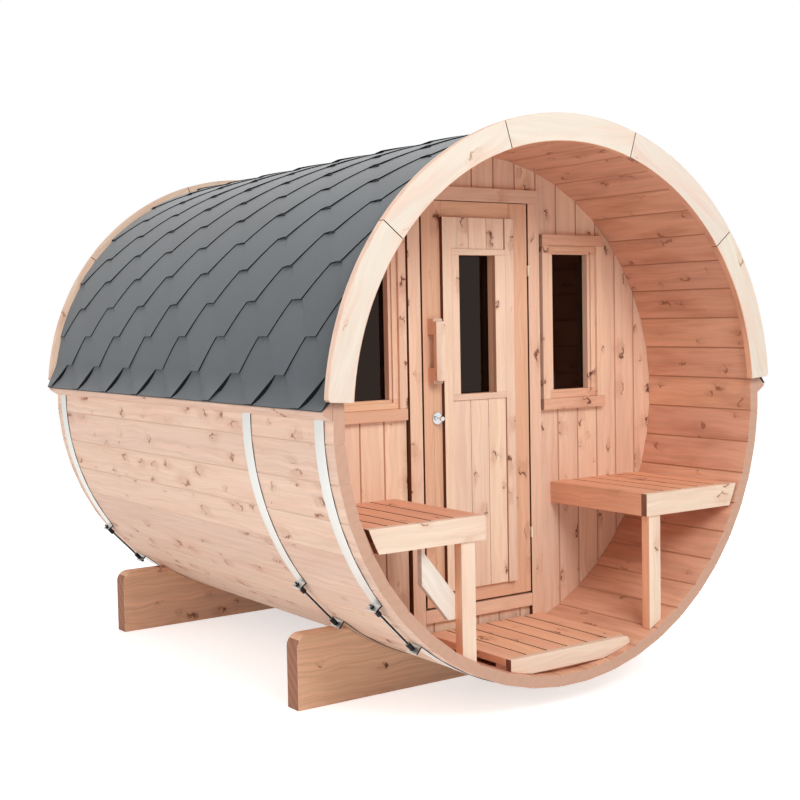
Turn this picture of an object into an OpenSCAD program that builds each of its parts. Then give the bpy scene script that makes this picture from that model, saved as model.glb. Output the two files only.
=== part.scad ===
// Barrel sauna on two cradles. Crozed staves are drawn together by steel bands, shingles cover the
// upper half between two arches, and the door wall stands back behind an open porch with benches.
// The ground is z = 0, the front faces -Y, and angles round the barrel run from +X up to +Z.

/* [Barrel] */
// Diameter across the flat outer faces of the staves
barrel_d = 2100; // [1900:10:2300]
// Length of the staves
stave_len = 2524; // [2300:2:4000]
// Thickness of a stave
stave_t = 45; // [38:1:55]
// Staves in each of the eight banks
bank_staves = 6; // [5:1:8]
// Bevel along the stave edges, which leaves a V-groove at each joint
stave_bevel = 4; // [2:0.5:8]
// Depth of the groove in the staves that holds an end wall
croze_depth = 8; // [5:1:14]
// Clear height between the barrel and the ground
ground_gap = 100; // [80:5:200]

/* [Cradles] */
// Length of a cradle plank across the barrel
cradle_len = 1680; // [1500:10:1900]
// Height of a cradle plank
cradle_h = 290; // [220:5:340]
// Thickness of a cradle plank
cradle_t = 80; // [60:1:140]
// Radius of the upper corners of a cradle
cradle_round = 50; // [10:1:90]
// Distance between the front cradle and the middle band
cradle_band_gap = 10; // [5:1:60]
// Distance between the rear cradle and the rear band
rear_cradle_gap = 35; // [5:1:80]

/* [Steel bands] */
// Width of a band
band_w = 62; // [40:1:80]
// Thickness of a band
band_t = 2; // [1:0.1:3]
// Distance from the stave ends to the middle of an end band
band_inset = 86; // [50:1:130]
// Distance of the middle band's middle behind the face of the door wall
middle_band_in = 11; // [0:1:22]
// Angle round the barrel at the middle of a tensioner
tensioner_a = 224; // [215:1:235]
// Angle between the two ears of a tensioner
tensioner_span = 12.5; // [8:0.5:16]
// Height of an ear above the band
ear_h = 34; // [26:1:45]
// Thickness of an ear
ear_t = 6; // [4:0.5:10]
// Diameter of the tension rod
rod_d = 9; // [6:0.5:12]
// Height of the tension rod above the staves
rod_out = 20; // [16:1:26]
// Width of the nuts on the rod
nut_w = 18; // [14:1:26]
// Height of the nuts
nut_h = 8; // [5:1:14]
// Width of the coupling lugs between the ears
lug_w = 20; // [14:1:26]
// Length of the coupling lugs
lug_len = 34; // [20:1:50]

/* [Arches] */
// Thickness of the arch boards
arch_t = 28; // [18:1:60]
// Width of the arch boards
arch_w = 102; // [85:1:140]
// Distance that an arch stands outside the staves
arch_rise = 38; // [32:1:60]
// Boards in each arch
arch_boards = 5; // [4:1:7]
// Gap between neighbouring arch boards
arch_gap = 3; // [0.5:0.5:6]
// Height of the arch feet above the barrel axis
arch_foot_h = 75; // [60:5:200]
// Corner cut from the outside of an arch foot
arch_foot_cut = 14; // [5:1:25]

/* [Roof] */
// Exposed height of a shingle course
course_h = 136.5; // [110:0.5:170]
// Thickness of the covering at the top of a course
shingle_t = 3; // [2:0.5:6]
// Step at the lower edge of a course
course_step = 8; // [4:0.5:12]
// Height above the axis where the lowest course ends
eaves_h = 42; // [20:1:60]
// Distance that the eaves batten stands outside the staves
eaves_out = 40; // [30:1:80]
// Height of the top of the eaves batten above the axis
batten_top = 80; // [65:1:110]
// Height of the underside of the eaves batten above the axis
batten_low = 9; // [0:1:30]
// Thickness of the nose of the eaves batten
batten_nose = 7; // [4:1:15]

/* [Door wall] */
// Depth of the porch from the stave ends to the face of the door wall
porch_depth = 584; // [500:2:900]
// Thickness of the wall boards
wall_t = 45; // [38:1:60]
// Depth of the recess outside the rear wall
rear_recess = 64; // [20:1:120]
// Boards over the door frame, which set the width of all wall boards
head_boards = 6; // [4:2:8]
// Bevel along the edges of the wall boards
wall_bevel = 4; // [1:0.5:6]
// Narrowest board that may be left at the edge of a wall
least_board = 25; // [15:1:50]
// Gap between the door posts and the wall boards beside them
frame_gap = 6; // [1:0.5:10]

/* [Door] */
// Width of the door leaf
door_w = 544; // [500:2:700]
// Height of the wall over the door frame, at the middle of the barrel
head_room = 134; // [100:1:250]
// Thickness of the door leaf
door_t = 40; // [32:1:50]
// Running gap round the leaf
door_gap = 8; // [5:0.5:10]
// Height of the leaf above the porch deck
door_lift = 100; // [60:5:140]
// Width of the door posts
post_w = 60; // [45:1:90]
// Height of the frame head
head_h = 56; // [40:1:80]
// Distance that the frame stands proud of the wall boards
casing_t = 20; // [12:1:30]
// Height of the threshold
threshold_h = 53; // [40:1:70]
// Gap between the leaf and the threshold
threshold_gap = 10; // [6:1:20]
// Width of the door stop
stop_w = 18; // [10:1:30]
// Width of the leaf's side stile on the handle side
lock_stile_w = 97; // [90:1:120]
// Width of the outer board of that stile
lock_edge_w = 48; // [30:1:60]
// Width of the leaf's side stile on the hinge side
hinge_stile_w = 97; // [90:1:120]
// Height of the leaf's top and bottom rails
leaf_rail_h = 80; // [70:1:120]

/* [Door panel] */
// Width of the raised panel on the leaf
panel_w = 366; // [300:2:420]
// Height of the leaf that shows above and below the raised panel
panel_margin = 60; // [40:1:120]
// Thickness of the raised panel's frame
panel_t = 20; // [14:1:30]
// Thickness of the boards inside the panel's frame
panel_board_t = 14; // [8:1:20]
// Width of the panel's stiles
panel_stile_w = 45; // [30:1:60]
// Boards across the panel
panel_boards = 3; // [2:1:5]
// Gap between the panel's boards
panel_gap = 2; // [0.5:0.5:5]
// Width of the door glass opening
door_glass_w = 186; // [140:2:210]
// Height of the door glass opening
door_glass_h = 561; // [400:1:650]
// Height of the middle of the door glass above the axis
door_glass_z = 316; // [280:1:340]
// Sideways shift of the door glass from the middle of the leaf
door_glass_shift = -8; // [-12:1:12]
// Height of the rails above and below the door glass
glass_rail_h = 24; // [16:1:50]
// Thickness of the glass panes
glass_t = 8; // [4:1:12]
// Depth of the glass seat round each pane
glass_seat = 12; // [8:1:20]

/* [Door hardware] */
// Length of the handle over its blocks
handle_len = 258; // [200:2:350]
// Distance that the blocks reach past the ends of the bar
handle_end = 10; // [0:1:30]
// Width of the handle
handle_w = 45; // [30:1:60]
// Thickness of the handle bar
handle_t = 20; // [14:1:30]
// Clear depth behind the handle bar
handle_clear = 40; // [35:1:60]
// Height of the blocks at the handle ends
handle_block_h = 64; // [30:1:80]
// Height of the middle of the handle above the axis
handle_z = 214; // [180:1:260]
// Distance of the handle's middle from the free edge of the leaf
handle_inset = 46; // [35:1:60]
// Diameter of the lock rosette
rosette_d = 48; // [36:1:50]
// Thickness of the lock rosette
rosette_t = 8; // [4:1:12]
// Diameter of the thumb turn
turn_d = 18; // [12:1:24]
// Thickness of the thumb turn
turn_t = 14; // [8:1:20]
// Diameter of the stem of the thumb turn
stem_d = 10; // [6:1:11]
// Distance that the thumb turn stands out of the rosette
turn_out = 34; // [24:1:45]
// Height of the lock below the axis
lock_drop = 56; // [20:1:120]
// Distance of the lock's middle from the free edge of the leaf
lock_inset = 62; // [48:1:64]
// Diameter of the hinge knuckles
knuckle_d = 10; // [9:1:16]
// Height of one hinge knuckle
knuckle_h = 22; // [16:1:40]
// Diameter of the hinge pin
pin_d = 6; // [4:0.5:7]
// Running clearance round the hinge pin
pin_clear = 0.06; // [0.03:0.01:0.1]
// Thickness of the hinge flaps
flap_t = 2; // [1.5:0.1:2.2]
// Depth of the hinge flaps
flap_d = 32; // [20:1:36]
// Height of the upper hinge above the axis
hinge_up = 535; // [400:5:650]
// Depth of the lower hinge below the axis
hinge_low = 567; // [450:5:700]

/* [Windows] */
// Width of a window over its trim
window_w = 364; // [300:2:400]
// Height of a window over its trim
window_h = 743; // [600:1:800]
// Distance of a window's upper corner from the staves
window_clear = 16; // [5:1:60]
// Gap between the window trim and the door post
window_gap = 5; // [3:1:20]
// Width of the window trim boards
trim_w = 46; // [35:1:60]
// Distance that the trim stands proud of the wall
trim_t = 26; // [15:1:35]
// Width of the sash members
sash_w = 36; // [25:1:50]
// Distance that the sash stands proud of the wall
sash_out = 14; // [5:1:20]
// Width of the step round the glass in the sash front
sash_step_w = 12; // [6:1:20]
// Depth of that step
sash_step_d = 10; // [4:1:16]
// Distance from the sash front to the glass
glass_depth = 42; // [20:1:45]

/* [Porch and floor] */
// Height of the deck above the inside of the lowest stave
deck_h = 85; // [70:1:110]
// Width of the deck
deck_w = 608; // [500:2:640]
// Slats in the deck
deck_slats = 6; // [5:1:8]
// Thickness of the deck slats
deck_t = 28; // [20:1:35]
// Gap between slats
slat_gap = 7; // [4:0.5:12]
// Setback of the deck fascia from the stave ends
deck_setback = 32; // [10:1:60]
// Sideways shift of the porch deck from the middle
deck_shift = 22; // [-30:1:30]
// Height of the deck fascia
fascia_h = 68; // [50:1:75]
// Thickness of the fascia boards
fascia_t = 30; // [20:1:40]
// Width of the deck bearers
bearer_w = 60; // [40:1:90]
// Corner radius at the end of the deck fascia
fascia_round = 24; // [10:1:30]
// Bearers under the cabin floor
floor_bearers = 4; // [3:1:6]

/* [Benches] */
// Depth of the bench tops below the barrel axis
bench_drop = 365; // [320:5:450]
// Distance of the bench's inner edge from the middle of the barrel
bench_in = 405; // [390:5:480]
// Setback of the bench fascia from the stave ends
bench_setback = 12; // [5:1:60]
// Slats in a bench seat
bench_slats = 5; // [4:1:7]
// Thickness of the bench slats
bench_t = 28; // [20:1:35]
// Height of the bench fascia
bench_fascia_h = 90; // [70:1:130]
// Gap between the end of the front fascia and the staves
bench_end_gap = 8; // [1:1:20]
// Width of the bench leg
leg_w = 62; // [50:1:100]
// Depth of the bench leg
leg_d = 42; // [36:1:80]
// Setback of the leg from the front of the bench
leg_setback = 8; // [2:1:30]
// Distance of the left leg from the bench's inner edge
left_leg_inset = 46; // [20:1:70]
// Distance of the right leg from the bench's inner edge
right_leg_inset = 21; // [5:1:70]
// Width of the ledgers under the slats
ledger_w = 35; // [25:1:50]
// Width of the knee brace
brace_w = 82; // [60:1:110]
// Thickness of the knee brace
brace_t = 26; // [18:1:35]
// Slope of the knee brace
brace_a = 51; // [45:1:56]
// Distance from the bench's inner edge to the outer end of the brace
brace_reach = 253; // [220:1:280]
// Distance from the bench's inner edge to the lower corner of the brace
brace_foot = 138; // [110:1:160]
// Distance from the bench's inner edge to the hidden end of the brace
brace_toe = 50; // [15:1:70]
// Depth of the brace's lower end under the bench fascia
brace_drop = 283; // [260:1:300]

/* [Clearances] */
// Gap between pieces that seat on each other
seat_gap = 0.3; // [0.2:0.05:0.5]
// Gap between neighbouring boards
board_gap = 0.4; // [0.3:0.1:1]

/* [Hidden] */
$fn = 180;
// How far a cutting shape runs past the face that it cuts
over = 1;
small_fn = 32;

stave_n = 8 * bank_staves;
stave_a = 360 / stave_n;
r_out = barrel_d / 2;
r_in = r_out - stave_t;
axis_h = r_out + ground_gap;
front_y = -stave_len / 2;
rear_y = stave_len / 2;

// Radius that clears the outside corners of the staves, and the one that stays inside their flats
wrap_r = norm([stave_edge(r_out) - stave_bevel, r_out]) + seat_gap;
room_r = r_in - seat_gap;
wall_r = r_in + croze_depth - seat_gap;
cover_r = wrap_r + band_t + seat_gap;

wall_y = front_y + porch_depth;
wall_back = wall_y + wall_t;
rear_wall_y = rear_y - rear_recess - wall_t;
casing_y = wall_y - casing_t;

front_band_y = front_y + band_inset;
middle_band_y = wall_y + middle_band_in;
rear_band_y = rear_y - band_inset;
band_places = [front_band_y, middle_band_y, rear_band_y];
front_cradle_y = middle_band_y + band_w / 2 + cradle_band_gap;
rear_cradle_y = rear_band_y - band_w / 2 - rear_cradle_gap - cradle_t;

arch_r = r_out + arch_rise;
arch_foot_a = asin(arch_foot_h / arch_r);
arch_step = (180 - 2 * arch_foot_a) / arch_boards;
arch_gap_a = arch_gap / arch_r * 180 / PI;

// Full courses are counted down from the ridge, and the rest is the eaves course over the batten
kick_a = asin((batten_top + shingle_t) / cover_r);
course_a = course_h / cover_r * 180 / PI;
courses = floor((90 - kick_a) / course_a);
first_a = 90 - courses * course_a;
// Facets along one course of the covering
course_facets = 4;

deck_z = axis_h - r_in + deck_h;
door_z = deck_z + door_lift;
head_z = axis_h + r_in - head_room - head_h;
door_top = head_z - door_gap;
open_w = door_w + 2 * door_gap;
frame_w = open_w + 2 * post_w;
threshold_z = door_z - threshold_gap - threshold_h;
leaf_x = door_w / 2;
leaf_back = casing_y + door_t;
panel_y = casing_y - panel_t;
pane_y = leaf_back - glass_t;

wall_board_w = frame_w / head_boards;
last_board = floor((wall_r - least_board) / wall_board_w);

hinge_x = open_w / 2 - door_gap / 2;
hinge_y = casing_y - knuckle_d / 2 - over;
hinge_heights = [axis_h + hinge_up, axis_h - hinge_low];

window_x = frame_w / 2 + window_gap;
hole_w = window_w - 2 * trim_w;
hole_h = window_h - 2 * trim_w;
window_top = axis_h + sqrt(pow(room_r - window_clear, 2) - pow(window_x + window_w, 2));
window_low = window_top - window_h;

bench_z = axis_h - bench_drop;
bench_low = bench_z - bench_fascia_h;
bench_y = front_y + bench_setback;
bench_x = sqrt(room_r * room_r - pow(bench_drop + bench_t, 2));

floor_len = rear_wall_y - wall_back;

pale_wood = "#efd9bd";
stave_wood = "#d9ab86";
wall_wood = "#e0b48c";
seat_wood = "#c98a5f";
cradle_wood = "#c79468";
slate_felt = "#4b4e52";
bright_steel = "#c9cccf";
dark_glass = "#26211f";

// Half the width of a stave at a distance from the barrel axis
function stave_edge(r) = r * tan(180 / stave_n) - board_gap / 2;

// A point at a radius and an angle round the barrel
function polar(r, a) = [r * cos(a), r * sin(a)];

// A box between two limits on each axis
module plank(x, y, z) {
    translate([x[0], y[0], z[0]])
        cube([x[1] - x[0], y[1] - y[0], z[1] - z[0]]);
}

// Draws in the barrel's round section, with the extrusion running to the front from y
module about_axis(y) {
    translate([0, y, axis_h])
        rotate([90, 0, 0])
            children();
}

// Draws an upright outline in x and z, as a board of thickness t whose front is at y
module upright(y, t) {
    translate([0, y + t, 0])
        rotate([90, 0, 0])
            linear_extrude(t)
                children();
}

// Keeps what lies inside a round room of radius r
module within(r) {
    intersection() {
        children();
        about_axis(rear_y + arch_t)
            cylinder(r = r, h = stave_len + 2 * arch_t);
    }
}

module sides(left) {
    mirror([left ? 1 : 0, 0, 0])
        children();
}

// One stave with bevelled edges and a groove for each end wall
module stave(a) {
    half = [
        [stave_edge(r_in) - stave_bevel, r_in],
        [stave_edge(r_in + stave_bevel), r_in + stave_bevel],
        [stave_edge(r_out - stave_bevel), r_out - stave_bevel],
        [stave_edge(r_out) - stave_bevel, r_out]
    ];
    other = [for (k = [3:-1:0]) [-half[k][0], half[k][1]]];
    rotate([0, 90 - a, 0])
        difference() {
            upright(front_y, stave_len)
                polygon(concat(half, other));
            for (y = [wall_y, rear_wall_y])
                plank([-r_out, r_out], [y - seat_gap, y + wall_t + seat_gap], [0, r_in + croze_depth]);
        }
}

module stave_bank(a) {
    color(stave_wood)
        translate([0, 0, axis_h])
            for (k = [0:bank_staves - 1])
                stave(a + (k + 1 - bank_staves / 2) * stave_a);
}

// Plank on edge with rounded upper corners and a saddle for the barrel
module cradle(y) {
    color(cradle_wood)
        upright(y, cradle_t)
            difference() {
                union() {
                    translate([-cradle_len / 2, 0])
                        square([cradle_len, cradle_h - cradle_round]);
                    translate([cradle_round - cradle_len / 2, 0])
                        square([cradle_len - 2 * cradle_round, cradle_h]);
                    for (x = [-1, 1])
                        translate([x * (cradle_len / 2 - cradle_round), cradle_h - cradle_round])
                            circle(cradle_round, $fn = small_fn);
                }
                translate([0, axis_h])
                    circle(wrap_r);
            }
}

module rod_line() {
    rotate([0, 0, tensioner_a])
        translate([(wrap_r + rod_out) * cos(tensioner_span / 2), 0, band_w / 2])
            rotate([90, 0, 0])
                children();
}

// Steel strap round the staves, open at the tensioner, with an ear bent out at each end
module band(y) {
    color(bright_steel)
        about_axis(y + band_w / 2)
            difference() {
                union() {
                    rotate([0, 0, tensioner_a + tensioner_span / 2])
                        rotate_extrude(angle = 360 - tensioner_span)
                            translate([wrap_r, 0])
                                square([band_t, band_w]);
                    for (end = [0, 1])
                        rotate([0, 0, tensioner_a])
                            mirror([0, end, 0])
                                rotate([0, 0, tensioner_span / 2])
                                    translate([wrap_r + band_t / 2, over, 0])
                                        cube([ear_h - band_t / 2, ear_t, band_w]);
                }
                rod_line()
                    cylinder(d = rod_d + 2 * seat_gap, h = r_out, center = true, $fn = small_fn);
            }
}

// Threaded rod through the two ears of a band, with a nut outside and a lug inside each ear
module tensioner(y) {
    half_gap = (wrap_r + ear_h) * sin(tensioner_span / 2) + ear_t + over;
    lug_end = (wrap_r + rod_out - lug_w / 2) * sin(tensioner_span / 2);
    color("#5d5f61")
        about_axis(y + band_w / 2)
            rod_line() {
                union() {
                    cylinder(d = rod_d, h = 2 * (half_gap + nut_h + rod_d), center = true, $fn = small_fn);
                    for (end = [0, 1])
                        mirror([0, 0, end]) {
                            translate([0, 0, half_gap])
                                cylinder(d = nut_w, h = nut_h, $fn = 6);
                            translate([0, 0, lug_end - lug_len])
                                cylinder(d = lug_w, h = lug_len, $fn = 6);
                        }
                }
            }
}

// Arc of boards that caps the stave ends over the upper half of the barrel
module arch(y) {
    color(pale_wood)
        about_axis(y + arch_t)
            for (k = [0:arch_boards - 1])
                difference() {
                    rotate([0, 0, arch_foot_a + k * arch_step + arch_gap_a / 2])
                        rotate_extrude(angle = arch_step - arch_gap_a)
                            translate([arch_r - arch_w, 0])
                                square([arch_w, arch_t]);
                    for (a = [arch_foot_a, 180 - arch_foot_a])
                        rotate([0, 0, a])
                            translate([arch_r, 0, arch_t / 2])
                                rotate([0, 0, 45])
                                    cube([arch_foot_cut, arch_foot_cut, arch_t + 2 * over], center = true);
                }
}

// Covering of one side: a stepped section that follows the staves and kicks out over the eaves batten
module roof(left) {
    tip = [r_out + eaves_out, eaves_h];
    steps = [
        for (k = [0:courses - 1], j = [0:course_facets])
            let (fall = j / course_facets)
                polar(cover_r + shingle_t + course_step * (1 - fall), first_a + course_a * (k + fall))
    ];
    seat_n = courses * course_facets;
    seat = [
        for (j = [seat_n:-1:0])
            polar(cover_r, kick_a + (90 - kick_a) * j / seat_n)
    ];
    skirt = [
        tip,
        tip + [shingle_t + course_step, 0],
        polar(cover_r + shingle_t + course_step / 2, (kick_a + first_a) / 2),
        polar(cover_r + shingle_t, first_a)
    ];
    color(slate_felt)
        sides(left)
            about_axis(rear_y)
                linear_extrude(stave_len)
                    polygon(concat(skirt, steps, [[over / 2, cover_r]], seat));
}

// Wedge under the eaves that carries the lowest course and throws water clear of the staves
module eaves_batten(left) {
    color(stave_wood)
        sides(left)
            about_axis(rear_y)
                difference() {
                    linear_extrude(stave_len)
                        polygon([
                            [r_in, batten_top],
                            [wrap_r, batten_top],
                            [r_out + eaves_out, eaves_h - seat_gap],
                            [r_out + eaves_out, eaves_h - seat_gap - batten_nose],
                            [r_out, batten_low],
                            [r_in, batten_low]
                        ]);
                    translate([0, 0, -over])
                        cylinder(r = wrap_r, h = stave_len + 2 * over);
                    for (y = band_places)
                        translate([0, 0, rear_y - y - band_w / 2 - seat_gap])
                            cylinder(r = cover_r, h = band_w + 2 * seat_gap);
                }
}

// Plan of a board with bevelled edges, from x = 0 to x = w and with its face at y = 0
module board_plan(w) {
    polygon([
        [board_gap / 2, wall_bevel],
        [board_gap / 2 + wall_bevel, 0],
        [w - board_gap / 2 - wall_bevel, 0],
        [w - board_gap / 2, wall_bevel],
        [w - board_gap / 2, wall_t - wall_bevel],
        [w - board_gap / 2 - wall_bevel, wall_t],
        [board_gap / 2 + wall_bevel, wall_t],
        [board_gap / 2, wall_t - wall_bevel]
    ]);
}

// Upright board number k to the right of the middle, cut to the round wall
module wall_board(k, y) {
    w = k < last_board ? wall_board_w : wall_r - k * wall_board_w + 2 * wall_bevel;
    within(wall_r)
        translate([k * wall_board_w, y, axis_h - wall_r])
            linear_extrude(2 * wall_r)
                board_plan(w);
}

// Boards beside the door, with a hole for the window and a gap to the post
module wall_side(left) {
    color(wall_wood)
        sides(left)
            for (k = [head_boards / 2:last_board])
                difference() {
                    wall_board(k, wall_y);
                    plank(
                        [window_x + trim_w - seat_gap, window_x + trim_w + hole_w + seat_gap],
                        [wall_y - over, wall_back + over],
                        [window_low + trim_w - seat_gap, window_low + trim_w + hole_h + seat_gap]
                    );
                    plank(
                        [frame_w / 2 - over, frame_w / 2 + frame_gap],
                        [wall_y - over, wall_back + over],
                        [0, head_z + head_h + seat_gap]
                    );
                }
}

module head_row() {
    intersection() {
        for (side = [0, 1])
            mirror([side, 0, 0])
                for (k = [0:head_boards / 2 - 1])
                    wall_board(k, wall_y);
        children();
    }
}

module wall_over_door() {
    color(wall_wood)
        head_row()
            plank([-frame_w, frame_w], [wall_y - over, wall_back + over], [head_z + head_h + seat_gap, axis_h + r_out]);
}

module wall_under_door() {
    half = open_w / 2 - seat_gap;
    color(wall_wood)
        head_row()
            plank([-half, half], [wall_y - over, wall_back + over], [0, threshold_z - seat_gap]);
}

module rear_wall() {
    color(wall_wood)
        for (side = [0, 1])
            mirror([side, 0, 0])
                for (k = [0:last_board])
                    wall_board(k, rear_wall_y);
}

// Four members round an opening: stiles between a sill and a head
module ring_of_boards(x, y, z, w) {
    plank([x[0], x[1]], y, [z[0], z[0] + w]);
    plank([x[0], x[1]], y, [z[1] - w, z[1]]);
    plank([x[0], x[0] + w], y, [z[0] + w + board_gap, z[1] - w - board_gap]);
    plank([x[1] - w, x[1]], y, [z[0] + w + board_gap, z[1] - w - board_gap]);
}

// Trim on the wall face and the stepped sash inside it
module window(left) {
    hole_x = window_x + trim_w;
    hole_z = window_low + trim_w;
    glass_y = wall_y - sash_out + glass_depth;
    step_edge = sash_w - sash_step_w;
    color(wall_wood)
        sides(left) {
            ring_of_boards(
                [window_x, window_x + window_w],
                [wall_y - trim_t, wall_y],
                [window_low, window_low + window_h],
                trim_w - board_gap
            );
            difference() {
                ring_of_boards(
                    [hole_x, hole_x + hole_w],
                    [wall_y - sash_out, wall_back],
                    [hole_z, hole_z + hole_h],
                    sash_w
                );
                plank(
                    [hole_x + sash_w - glass_seat, hole_x + hole_w - sash_w + glass_seat],
                    [glass_y - seat_gap, glass_y + glass_t + seat_gap],
                    [hole_z + sash_w - glass_seat, hole_z + hole_h - sash_w + glass_seat]
                );
                plank(
                    [hole_x + step_edge, hole_x + hole_w - step_edge],
                    [wall_y - sash_out - over, wall_y - sash_out + sash_step_d],
                    [hole_z + step_edge, hole_z + hole_h - step_edge]
                );
            }
        }
}

module window_glass(left) {
    hole_x = window_x + trim_w;
    hole_z = window_low + trim_w;
    glass_y = wall_y - sash_out + glass_depth;
    edge = sash_w - glass_seat + seat_gap;
    color(dark_glass)
        sides(left)
            plank(
                [hole_x + edge, hole_x + hole_w - edge],
                [glass_y, glass_y + glass_t],
                [hole_z + edge, hole_z + hole_h - edge]
            );
}

// Posts, head and threshold, with a stop behind the leaf
module door_frame() {
    stop_y = leaf_back + door_gap;
    color(wall_wood) {
        for (side = [0, 1])
            mirror([side, 0, 0])
                within(room_r) {
                    union() {
                        plank([open_w / 2, frame_w / 2], [casing_y, wall_back], [0, head_z - board_gap]);
                        plank(
                            [open_w / 2 - stop_w, open_w / 2],
                            [stop_y, wall_back],
                            [threshold_z + threshold_h + seat_gap, head_z - board_gap]
                        );
                    }
                }
        plank([-frame_w / 2, frame_w / 2], [casing_y, wall_back], [head_z, head_z + head_h]);
        plank(
            [seat_gap - open_w / 2, open_w / 2 - seat_gap],
            [casing_y, wall_back],
            [threshold_z, threshold_z + threshold_h]
        );
    }
}

// Lower halves of the lift-off hinges, fixed to the post and carrying the pins
module hinge_pins() {
    color(bright_steel)
        for (z = hinge_heights) {
            union() {
                translate([hinge_x, hinge_y, z - knuckle_h])
                    cylinder(d = knuckle_d, h = knuckle_h, $fn = small_fn);
                translate([hinge_x, hinge_y, z - over])
                    cylinder(d = pin_d, h = knuckle_h, $fn = small_fn);
                plank([open_w / 2 - flap_t, open_w / 2], [hinge_y, casing_y + flap_d], [z - knuckle_h, z]);
            }
        }
}

// Upper halves of the hinges, fixed to the leaf and bored for the pins
module hinge_knuckles() {
    color(bright_steel)
        for (z = hinge_heights)
            difference() {
                union() {
                    translate([hinge_x, hinge_y, z + seat_gap])
                        cylinder(d = knuckle_d, h = knuckle_h, $fn = small_fn);
                    plank(
                        [leaf_x, leaf_x + flap_t],
                        [hinge_y, casing_y + flap_d],
                        [z + seat_gap, z + seat_gap + knuckle_h]
                    );
                }
                translate([hinge_x, hinge_y, z - over])
                    cylinder(d = pin_d + 2 * pin_clear, h = knuckle_h + 2 * over, $fn = small_fn);
            }
}

// Stiles, rails and the core of the leaf, which is rebated at its back for the pane
module door_leaf() {
    seat_x = door_glass_w / 2 + glass_seat;
    lock_x = lock_stile_w - leaf_x;
    hinge_edge = leaf_x - hinge_stile_w;
    lock_joint = lock_edge_w - leaf_x;
    color(wall_wood) {
        plank([-leaf_x, lock_joint - board_gap], [casing_y, leaf_back], [door_z, door_top]);
        plank([lock_joint, lock_x - board_gap], [casing_y, leaf_back], [door_z, door_top]);
        plank([hinge_edge + board_gap, leaf_x], [casing_y, leaf_back], [door_z, door_top]);
        plank([lock_x, hinge_edge], [casing_y, leaf_back], [door_z, door_z + leaf_rail_h]);
        plank([lock_x, hinge_edge], [casing_y, leaf_back], [door_top - leaf_rail_h, door_top]);
        difference() {
            plank(
                [lock_x, hinge_edge],
                [casing_y, leaf_back],
                [door_z + leaf_rail_h + board_gap, door_top - leaf_rail_h - board_gap]
            );
            translate([door_glass_shift, 0, axis_h + door_glass_z]) {
                plank([-1, 1] * door_glass_w / 2, [casing_y - over, leaf_back + over], [-1, 1] * door_glass_h / 2);
                plank([-1, 1] * seat_x, [pane_y - seat_gap, leaf_back + over], [-1, 1] * (door_glass_h / 2 + glass_seat));
            }
        }
    }
}

// Raised panel on the leaf: stiles, boards and the frame of the glass
module door_panel() {
    inner_x = panel_w / 2 - panel_stile_w;
    panel_low = door_z + panel_margin;
    panel_top = door_top - panel_margin;
    glass_low = axis_h + door_glass_z - door_glass_h / 2;
    glass_top = axis_h + door_glass_z + door_glass_h / 2;
    glass_left = door_glass_shift - door_glass_w / 2;
    glass_right = door_glass_shift + door_glass_w / 2;
    frame_y = [panel_y, casing_y];
    board_y = [casing_y - panel_board_t, casing_y];
    board_w = 2 * inner_x / panel_boards;
    stile_z = [glass_low + board_gap, glass_top - board_gap];
    color(wall_wood) {
        for (side = [0, 1])
            mirror([side, 0, 0])
                plank([inner_x + board_gap, panel_w / 2], frame_y, [panel_low, panel_top]);
        for (z = [glass_low - glass_rail_h, glass_top])
            plank([-inner_x, inner_x], frame_y, [z, z + glass_rail_h]);
        plank([-inner_x, glass_left], frame_y, stile_z);
        plank([glass_right, inner_x], frame_y, stile_z);
        for (k = [0:panel_boards - 1])
            for (z = [
                [panel_low, glass_low - glass_rail_h - board_gap],
                [glass_top + glass_rail_h + board_gap, panel_top]
            ])
                plank([k * board_w - inner_x, (k + 1) * board_w - inner_x - panel_gap], board_y, z);
    }
}

// Pane in the rebate at the back of the leaf
module door_glass() {
    half = door_glass_w / 2 + glass_seat - seat_gap;
    tall = door_glass_h / 2 + glass_seat - seat_gap;
    color(dark_glass)
        translate([door_glass_shift, 0, axis_h + door_glass_z])
            plank([-half, half], [pane_y, pane_y + glass_t], [-tall, tall]);
}

// Wooden pull: a bar on two blocks
module door_handle() {
    x = [handle_inset - handle_w / 2, handle_inset + handle_w / 2];
    bar_y = casing_y - handle_clear - handle_t;
    z = axis_h + handle_z;
    color(pale_wood)
        translate([-leaf_x, 0, 0])
            union() {
                plank(x, [bar_y, bar_y + handle_t], [z - handle_len / 2 + handle_end, z + handle_len / 2 - handle_end]);
                plank(x, [bar_y + handle_t, casing_y], [z - handle_len / 2, z - handle_len / 2 + handle_block_h]);
                plank(x, [bar_y + handle_t, casing_y], [z + handle_len / 2 - handle_block_h, z + handle_len / 2]);
            }
}

// Round rosette with a thumb turn on a stem
module door_lock() {
    color(bright_steel)
        translate([lock_inset - leaf_x, casing_y, axis_h - lock_drop])
            rotate([90, 0, 0])
                union() {
                    cylinder(d = rosette_d, h = rosette_t, $fn = small_fn);
                    cylinder(d = stem_d, h = rosette_t + turn_out, $fn = small_fn);
                    translate([0, 0, rosette_t + turn_out - turn_t])
                        cylinder(d = turn_d, h = turn_t, $fn = small_fn);
                }
}

// Slats that run from y0 to y1 across the deck's width, with its middle at x
module floor_slats(x, y0, y1) {
    pitch = (deck_w + slat_gap) / deck_slats;
    left = x - deck_w / 2;
    within(room_r)
        for (k = [0:deck_slats - 1])
            plank(
                [left + k * pitch, left + (k + 1) * pitch - slat_gap],
                [y0, y1],
                [deck_z - deck_t, deck_z]
            );
}

// Bearer across the lowest staves, cut to their curve
module floor_bearer(x, y) {
    within(room_r)
        plank([x - deck_w / 2, x + deck_w / 2], [y, y + bearer_w], [0, deck_z - deck_t - seat_gap]);
}

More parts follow.
